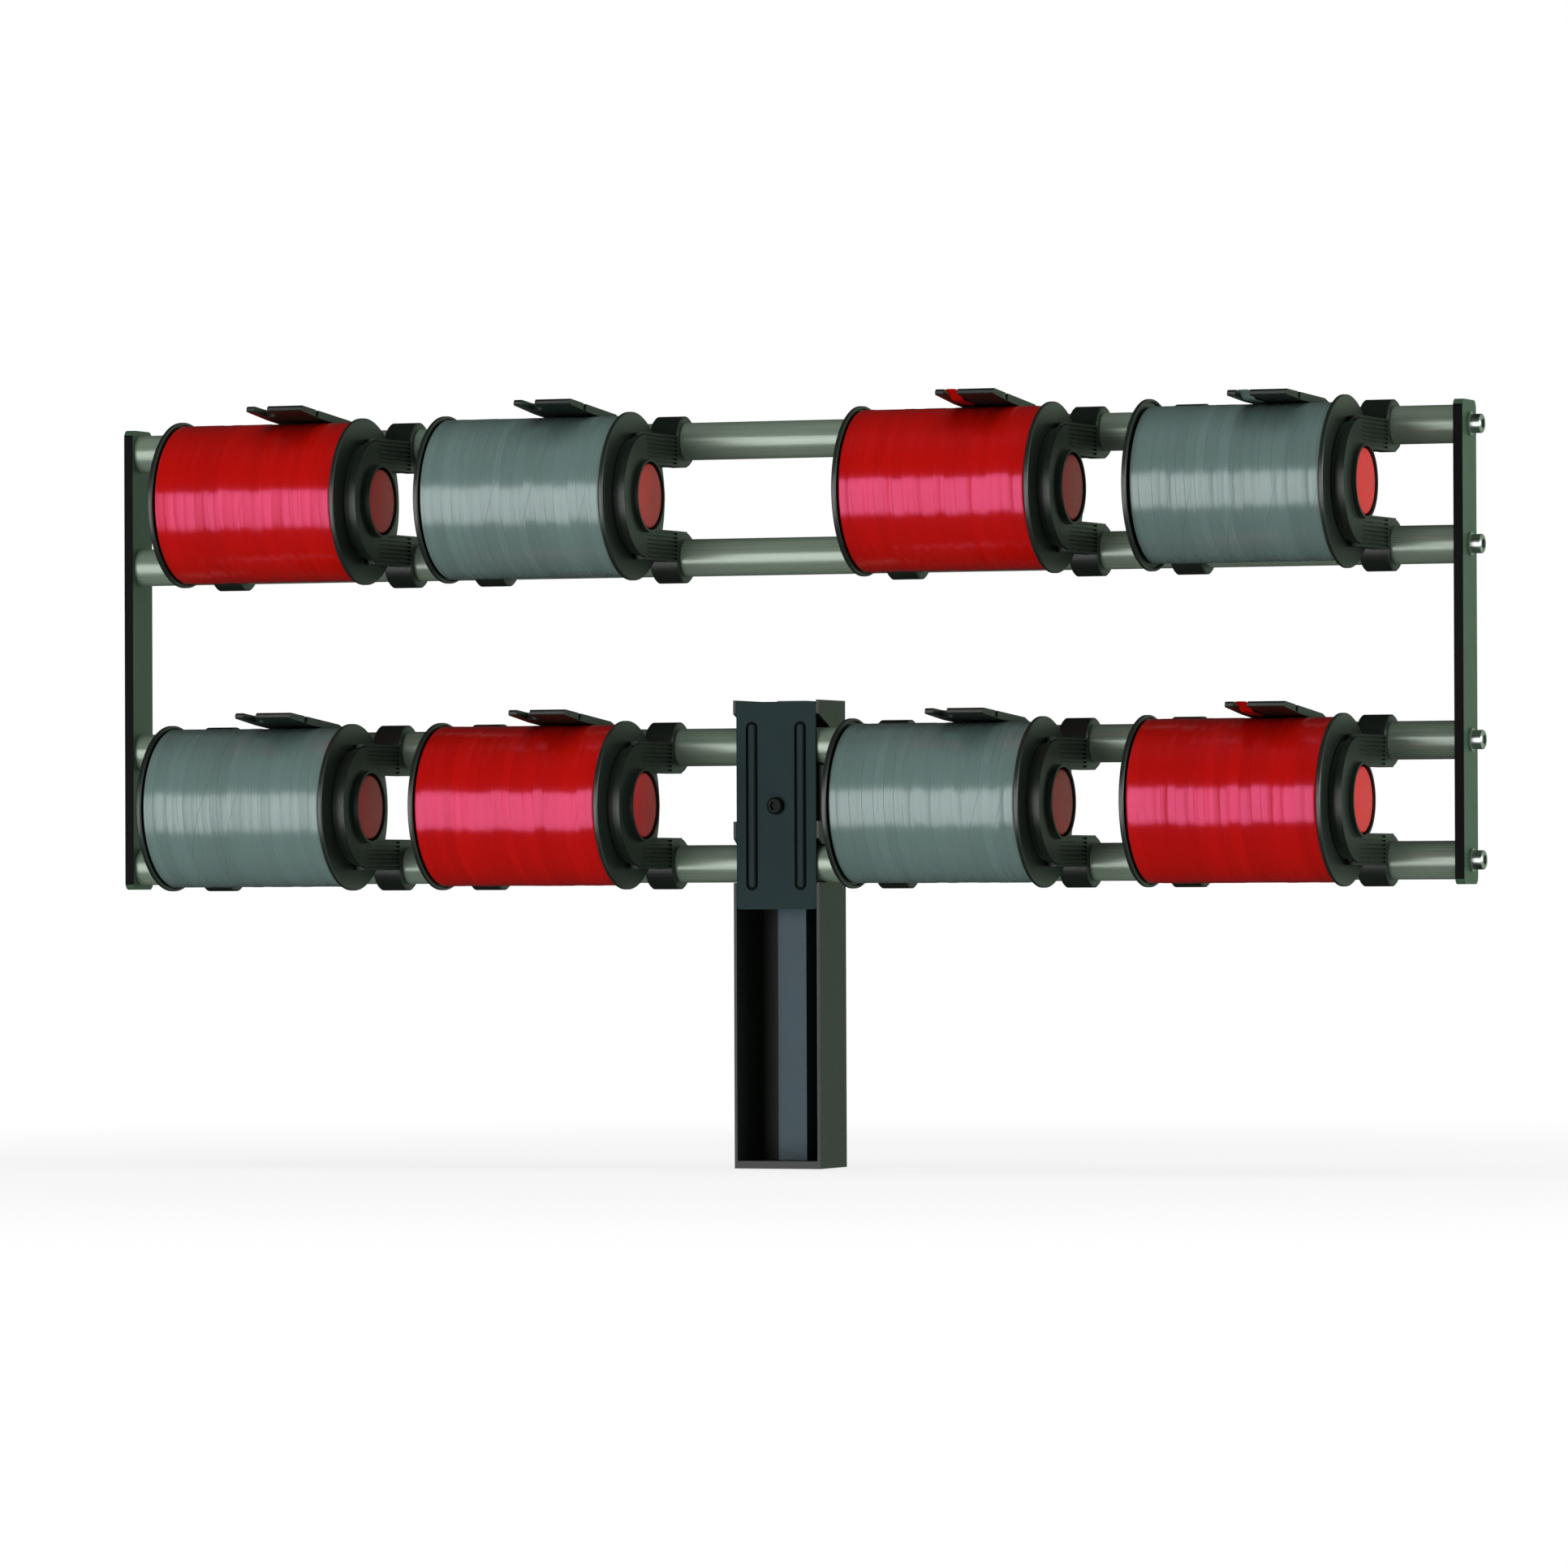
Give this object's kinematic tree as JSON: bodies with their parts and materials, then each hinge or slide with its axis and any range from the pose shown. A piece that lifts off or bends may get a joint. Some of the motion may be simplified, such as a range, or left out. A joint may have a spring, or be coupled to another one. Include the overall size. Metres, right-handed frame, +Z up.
{
  "type": "ribbon spool dispenser rack",
  "caption": "Rack of horizontal tubes on a post, with clip-on holders for ribbon spools, each with a release button and a hinged cutter arm.",
  "frame": {"origin": "centre of the post's foot plate, on its lower face", "axes": "+X along the tubes to the right as seen from the front, +Y away from the front, +Z up"},
  "size_m": [0.7704, 0.1268, 0.4056],
  "materials": {
    "post_paint": "satin",
    "rail_paint": "satin",
    "clamp_paint": "satin",
    "screw_black": "blackened",
    "tube_satin": "satin anodised",
    "plug_plastic": "matte",
    "plate_paint": "satin",
    "screw_steel": "zinc plated",
    "holder_plastic": "semi-matte moulded",
    "spool_plastic": "glossy",
    "ribbon_red": "satin ribbon",
    "ribbon_grey": "metallic ribbon",
    "button_red": "satin",
    "blade_steel": "ground"
  },
  "bodies": {
    "rack": {"post": "post_paint", "post_rail": "rail_paint", "clamp_plate": "clamp_paint", "clamp_screw": "screw_black", "tube_1": "tube_satin", "tube_2": "tube_satin", "tube_3": "tube_satin", "tube_4": "tube_satin", "tube_plugs": "plug_plastic", "end_plate_left": "plate_paint", "end_plate_right": "plate_paint", "end_screws": "screw_steel", "holder_1": "holder_plastic", "holder_2": "holder_plastic", "holder_3": "holder_plastic", "holder_4": "holder_plastic", "holder_5": "holder_plastic", "holder_6": "holder_plastic", "holder_7": "holder_plastic", "holder_8": "holder_plastic"},
    "roll_1": {"spool_1": "spool_plastic", "ribbon_1": "ribbon_red"},
    "release_1": {"button_1": "button_red"},
    "cutter_1": {"cutter_arm_1": "holder_plastic", "cutter_blade_1": "blade_steel"},
    "roll_2": {"spool_2": "spool_plastic", "ribbon_2": "ribbon_grey"},
    "release_2": {"button_2": "button_red"},
    "cutter_2": {"cutter_arm_2": "holder_plastic", "cutter_blade_2": "blade_steel"},
    "roll_3": {"spool_3": "spool_plastic", "ribbon_3": "ribbon_red"},
    "release_3": {"button_3": "button_red"},
    "cutter_3": {"cutter_arm_3": "holder_plastic", "cutter_blade_3": "blade_steel"},
    "roll_4": {"spool_4": "spool_plastic", "ribbon_4": "ribbon_grey"},
    "release_4": {"button_4": "button_red"},
    "cutter_4": {"cutter_arm_4": "holder_plastic", "cutter_blade_4": "blade_steel"},
    "roll_5": {"spool_5": "spool_plastic", "ribbon_5": "ribbon_grey"},
    "release_5": {"button_5": "button_red"},
    "cutter_5": {"cutter_arm_5": "holder_plastic", "cutter_blade_5": "blade_steel"},
    "roll_6": {"spool_6": "spool_plastic", "ribbon_6": "ribbon_red"},
    "release_6": {"button_6": "button_red"},
    "cutter_6": {"cutter_arm_6": "holder_plastic", "cutter_blade_6": "blade_steel"},
    "roll_7": {"spool_7": "spool_plastic", "ribbon_7": "ribbon_grey"},
    "release_7": {"button_7": "button_red"},
    "cutter_7": {"cutter_arm_7": "holder_plastic", "cutter_blade_7": "blade_steel"},
    "roll_8": {"spool_8": "spool_plastic", "ribbon_8": "ribbon_red"},
    "release_8": {"button_8": "button_red"},
    "cutter_8": {"cutter_arm_8": "holder_plastic", "cutter_blade_8": "blade_steel"}
  },
  "joints": [
    {"name": "roll_1_spin", "type": "hinge", "parent": "rack", "child": "roll_1", "pos_m": [-0.27129, -0.0623, 0.3555], "axis": [1, 0, 0], "continuous": true},
    {"name": "button_1_press", "type": "slide", "parent": "rack", "child": "release_1", "axis": [-1, 0, 0], "range_m": [0, 0.003], "stiffness_N_per_m": 800},
    {"name": "cutter_1_lift", "type": "hinge", "parent": "rack", "child": "cutter_1", "pos_m": [-0.25379, -0.0283, 0.394], "axis": [-1, 0, 0], "range_deg": [0, 75]},
    {"name": "roll_2_spin", "type": "hinge", "parent": "rack", "child": "roll_2", "pos_m": [-0.11743, -0.0623, 0.3555], "axis": [1, 0, 0], "continuous": true},
    {"name": "button_2_press", "type": "slide", "parent": "rack", "child": "release_2", "axis": [-1, 0, 0], "range_m": [0, 0.003], "stiffness_N_per_m": 800},
    {"name": "cutter_2_lift", "type": "hinge", "parent": "rack", "child": "cutter_2", "pos_m": [-0.09993, -0.0283, 0.394], "axis": [-1, 0, 0], "range_deg": [0, 75]},
    {"name": "roll_3_spin", "type": "hinge", "parent": "rack", "child": "roll_3", "pos_m": [0.11819, -0.0623, 0.3555], "axis": [1, 0, 0], "continuous": true},
    {"name": "button_3_press", "type": "slide", "parent": "rack", "child": "release_3", "axis": [-1, 0, 0], "range_m": [0, 0.003], "stiffness_N_per_m": 800},
    {"name": "cutter_3_lift", "type": "hinge", "parent": "rack", "child": "cutter_3", "pos_m": [0.13569, -0.0283, 0.394], "axis": [-1, 0, 0], "range_deg": [0, 75]},
    {"name": "roll_4_spin", "type": "hinge", "parent": "rack", "child": "roll_4", "pos_m": [0.27669, -0.0623, 0.3555], "axis": [1, 0, 0], "continuous": true},
    {"name": "button_4_press", "type": "slide", "parent": "rack", "child": "release_4", "axis": [-1, 0, 0], "range_m": [0, 0.003], "stiffness_N_per_m": 800},
    {"name": "cutter_4_lift", "type": "hinge", "parent": "rack", "child": "cutter_4", "pos_m": [0.29419, -0.0283, 0.394], "axis": [-1, 0, 0], "range_deg": [0, 75]},
    {"name": "roll_5_spin", "type": "hinge", "parent": "rack", "child": "roll_5", "pos_m": [-0.27847, -0.0623, 0.1925], "axis": [1, 0, 0], "continuous": true},
    {"name": "button_5_press", "type": "slide", "parent": "rack", "child": "release_5", "axis": [-1, 0, 0], "range_m": [0, 0.003], "stiffness_N_per_m": 800},
    {"name": "cutter_5_lift", "type": "hinge", "parent": "rack", "child": "cutter_5", "pos_m": [-0.26098, -0.0283, 0.231], "axis": [-1, 0, 0], "range_deg": [0, 75]},
    {"name": "roll_6_spin", "type": "hinge", "parent": "rack", "child": "roll_6", "pos_m": [-0.12102, -0.0623, 0.1925], "axis": [1, 0, 0], "continuous": true},
    {"name": "button_6_press", "type": "slide", "parent": "rack", "child": "release_6", "axis": [-1, 0, 0], "range_m": [0, 0.003], "stiffness_N_per_m": 800},
    {"name": "cutter_6_lift", "type": "hinge", "parent": "rack", "child": "cutter_6", "pos_m": [-0.10352, -0.0283, 0.231], "axis": [-1, 0, 0], "range_deg": [0, 75]},
    {"name": "roll_7_spin", "type": "hinge", "parent": "rack", "child": "roll_7", "pos_m": [0.11191, -0.0623, 0.1925], "axis": [1, 0, 0], "continuous": true},
    {"name": "button_7_press", "type": "slide", "parent": "rack", "child": "release_7", "axis": [-1, 0, 0], "range_m": [0, 0.003], "stiffness_N_per_m": 800},
    {"name": "cutter_7_lift", "type": "hinge", "parent": "rack", "child": "cutter_7", "pos_m": [0.12941, -0.0283, 0.231], "axis": [-1, 0, 0], "range_deg": [0, 75]},
    {"name": "roll_8_spin", "type": "hinge", "parent": "rack", "child": "roll_8", "pos_m": [0.2746, -0.0623, 0.1925], "axis": [1, 0, 0], "continuous": true},
    {"name": "button_8_press", "type": "slide", "parent": "rack", "child": "release_8", "axis": [-1, 0, 0], "range_m": [0, 0.003], "stiffness_N_per_m": 800},
    {"name": "cutter_8_lift", "type": "hinge", "parent": "rack", "child": "cutter_8", "pos_m": [0.2921, -0.0283, 0.231], "axis": [-1, 0, 0], "range_deg": [0, 75]}
  ]
}
